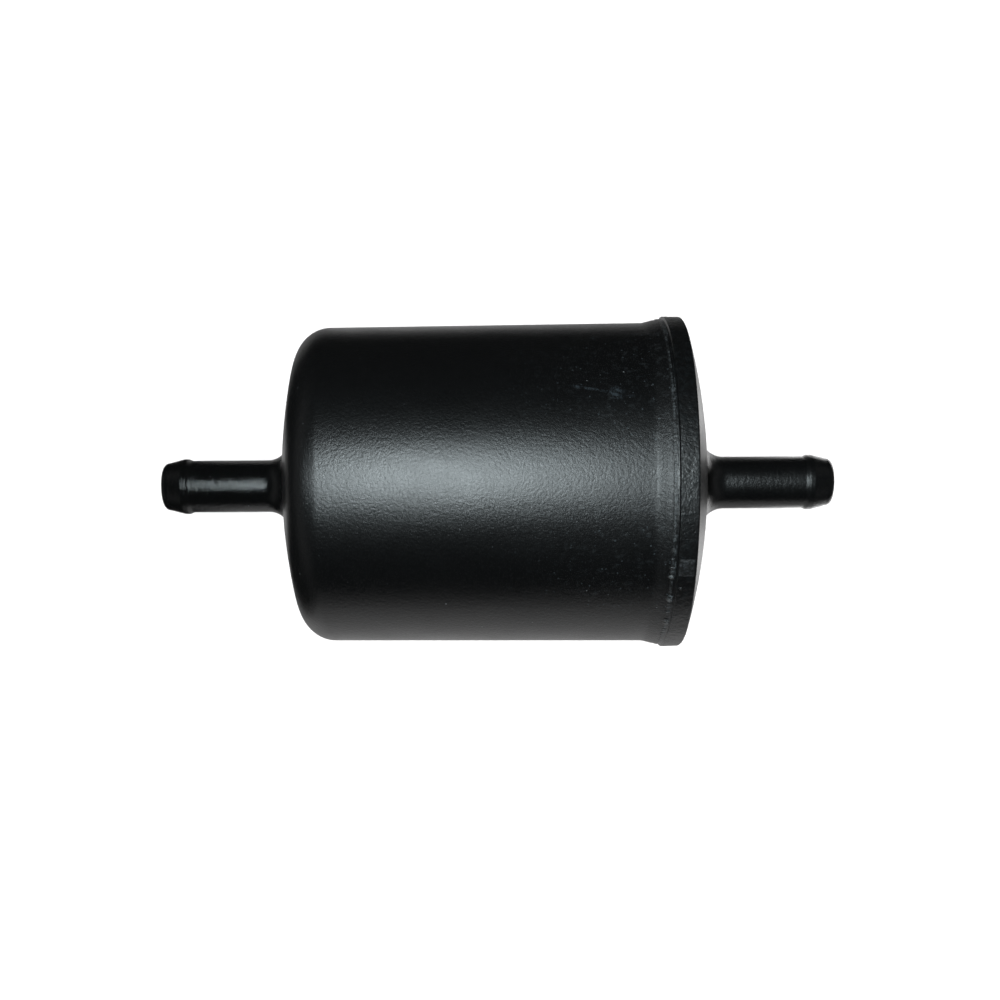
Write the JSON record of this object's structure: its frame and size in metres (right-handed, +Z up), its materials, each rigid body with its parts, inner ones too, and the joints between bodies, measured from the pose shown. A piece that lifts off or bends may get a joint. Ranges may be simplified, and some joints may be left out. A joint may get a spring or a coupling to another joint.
{
  "type": "in-line fuel filter",
  "caption": "Black plastic in-line canister fuel filter with a domed housing, a welded flanged end cap and a hose nipple at each end.",
  "frame": {"origin": "on the filter's axis, midway between the two nipple tips, which is the centre of its box", "axes": "+X along the axis in the direction of flow, from the domed inlet end to the flanged outlet end; +Z up as the filter lies on its side; +Y across"},
  "size_m": [0.0886, 0.0434, 0.0434],
  "materials": {
    "housing_plastic": "satin black moulded nylon with a fine grain",
    "cap_plastic": "satin black moulded nylon, scuffed on the flange",
    "weld_plastic": "ragged remelted nylon",
    "filter_paper": "resin-treated filter paper",
    "clip_steel": "crimped strip",
    "core_plastic": "natural moulded nylon",
    "plate_plastic": "natural moulded nylon",
    "adhesive": "cast adhesive",
    "seal_rubber": "fuel-resistant rubber"
  },
  "bodies": {
    "root": {"canister": "housing_plastic", "end_cap": "cap_plastic", "weld_bead": "weld_plastic", "pleated_medium": "filter_paper", "pleat_seam_clip": "clip_steel", "centre_tube": "core_plastic", "closed_end_plate": "plate_plastic", "open_end_plate": "plate_plastic", "closed_end_adhesive": "adhesive", "open_end_adhesive": "adhesive", "outlet_o_ring": "seal_rubber"}
  },
  "joints": []
}
